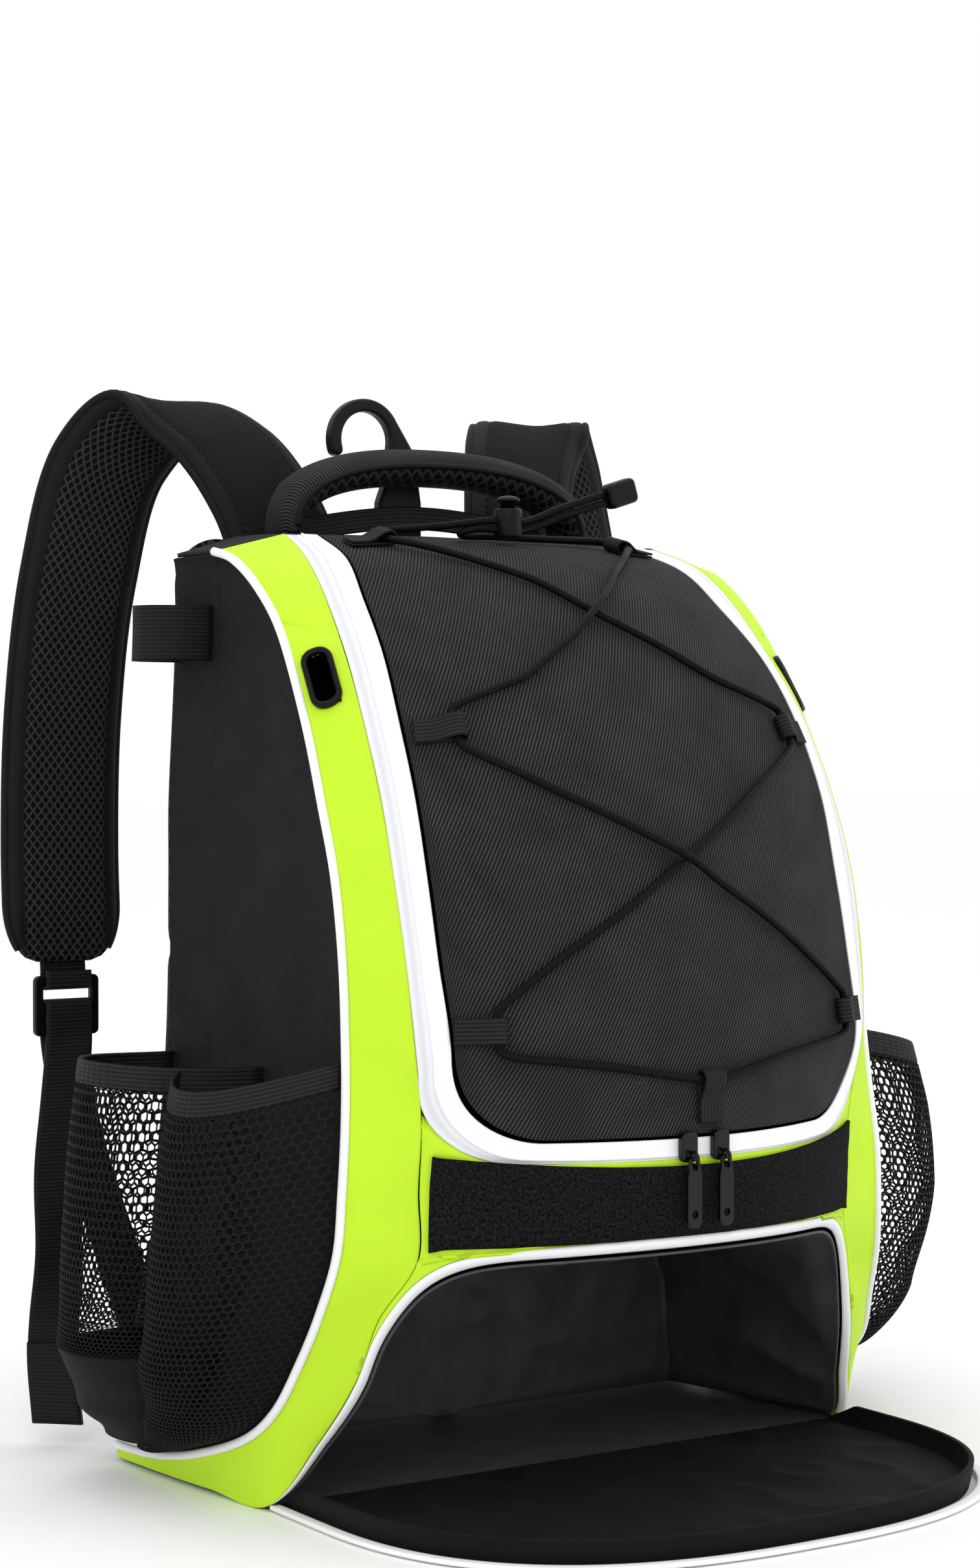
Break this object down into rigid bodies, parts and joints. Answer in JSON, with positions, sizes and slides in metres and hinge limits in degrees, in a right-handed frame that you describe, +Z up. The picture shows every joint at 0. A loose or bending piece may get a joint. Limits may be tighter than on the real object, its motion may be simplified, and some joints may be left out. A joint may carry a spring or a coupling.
{
  "type": "baseball bat backpack",
  "caption": "Upright sports backpack with net side pockets and bat bands, laced elastic cord on the front, padded harness, fence hook and a shoe compartment with its flap open.",
  "frame": {"origin": "on the floor, on the underside of the base and on the middle plane of the bag, 105 mm in front of the back cloth", "axes": "+Z up, -Y toward the front that carries the cord, +X toward the right side as the bag is worn"},
  "size_m": [0.4662, 0.4228, 0.533],
  "materials": {
    "front_cloth": "matte twill",
    "side_cloth": "matte twill",
    "lime_cloth": "smooth matte",
    "white_tape": "woven tape",
    "lining": "thin nylon, slight sheen",
    "net": "hexagonal net",
    "spacer_mesh": "air mesh",
    "webbing": "ribbed webbing",
    "pad_cloth": "matte twill over foam",
    "plastic": "moulded",
    "dark_metal": "black enamel"
  },
  "bodies": {
    "bag": {"front_panel": "front_cloth", "top_panel": "front_cloth", "top_handle": "front_cloth", "back_panel": "side_cloth", "side_panel_left": "side_cloth", "side_panel_right": "side_cloth", "pocket_base_left": "side_cloth", "pocket_base_right": "side_cloth", "lower_band": "lime_cloth", "gusset_left": "lime_cloth", "gusset_right": "lime_cloth", "zipper_band": "white_tape", "arch_zipper": "white_tape", "flap_zipper": "white_tape", "piping_left": "white_tape", "piping_right": "white_tape", "shoe_tunnel": "lining", "shoe_flap": "lining", "bottom_panel": "lining", "bat_pocket_left": "net", "bat_pocket_right": "net", "ball_pocket_left": "net", "ball_pocket_right": "net", "handle_underside": "spacer_mesh", "strap_mesh_left": "spacer_mesh", "strap_mesh_right": "spacer_mesh", "hook_loop_strip": "webbing", "handle_band": "webbing", "hook_tab": "webbing", "bungee_cord": "webbing", "strap_webbing_left": "webbing", "strap_webbing_right": "webbing", "bat_hem_left": "webbing", "bat_hem_right": "webbing", "ball_hem_left": "webbing", "ball_hem_right": "webbing", "bat_strap_left": "webbing", "bat_strap_right": "webbing", "cord_loop_1": "webbing", "cord_loop_2": "webbing", "cord_loop_3": "webbing", "cord_loop_4": "webbing", "cord_loop_5": "webbing", "cord_loop_6": "webbing", "cord_loop_7": "webbing", "shoulder_strap_left": "pad_cloth", "shoulder_strap_right": "pad_cloth", "fence_hook": "plastic", "cord_lock": "plastic", "cord_end": "plastic", "ladder_lock_left": "plastic", "ladder_lock_right": "plastic", "eyelet_left": "plastic", "eyelet_right": "plastic", "zipper_slider_left": "dark_metal", "zipper_slider_right": "dark_metal"},
    "lock_button": {"lock_plunger": "plastic"},
    "left_zip_pull": {"zipper_pull_left": "dark_metal"},
    "right_zip_pull": {"zipper_pull_right": "dark_metal"}
  },
  "joints": [
    {"name": "lock_button_press", "type": "slide", "parent": "bag", "child": "lock_button", "axis": [0, 0, -1], "range_m": [0, 0.003], "stiffness_N_per_m": 300},
    {"name": "left_pull_swing", "type": "hinge", "parent": "bag", "child": "left_zip_pull", "pos_m": [-0.013, -0.14501, 0.163], "axis": [-1, 0, 0], "range_deg": [0, 140]},
    {"name": "right_pull_swing", "type": "hinge", "parent": "bag", "child": "right_zip_pull", "pos_m": [0.005, -0.14546, 0.163], "axis": [-1, 0, 0], "range_deg": [0, 140]}
  ]
}
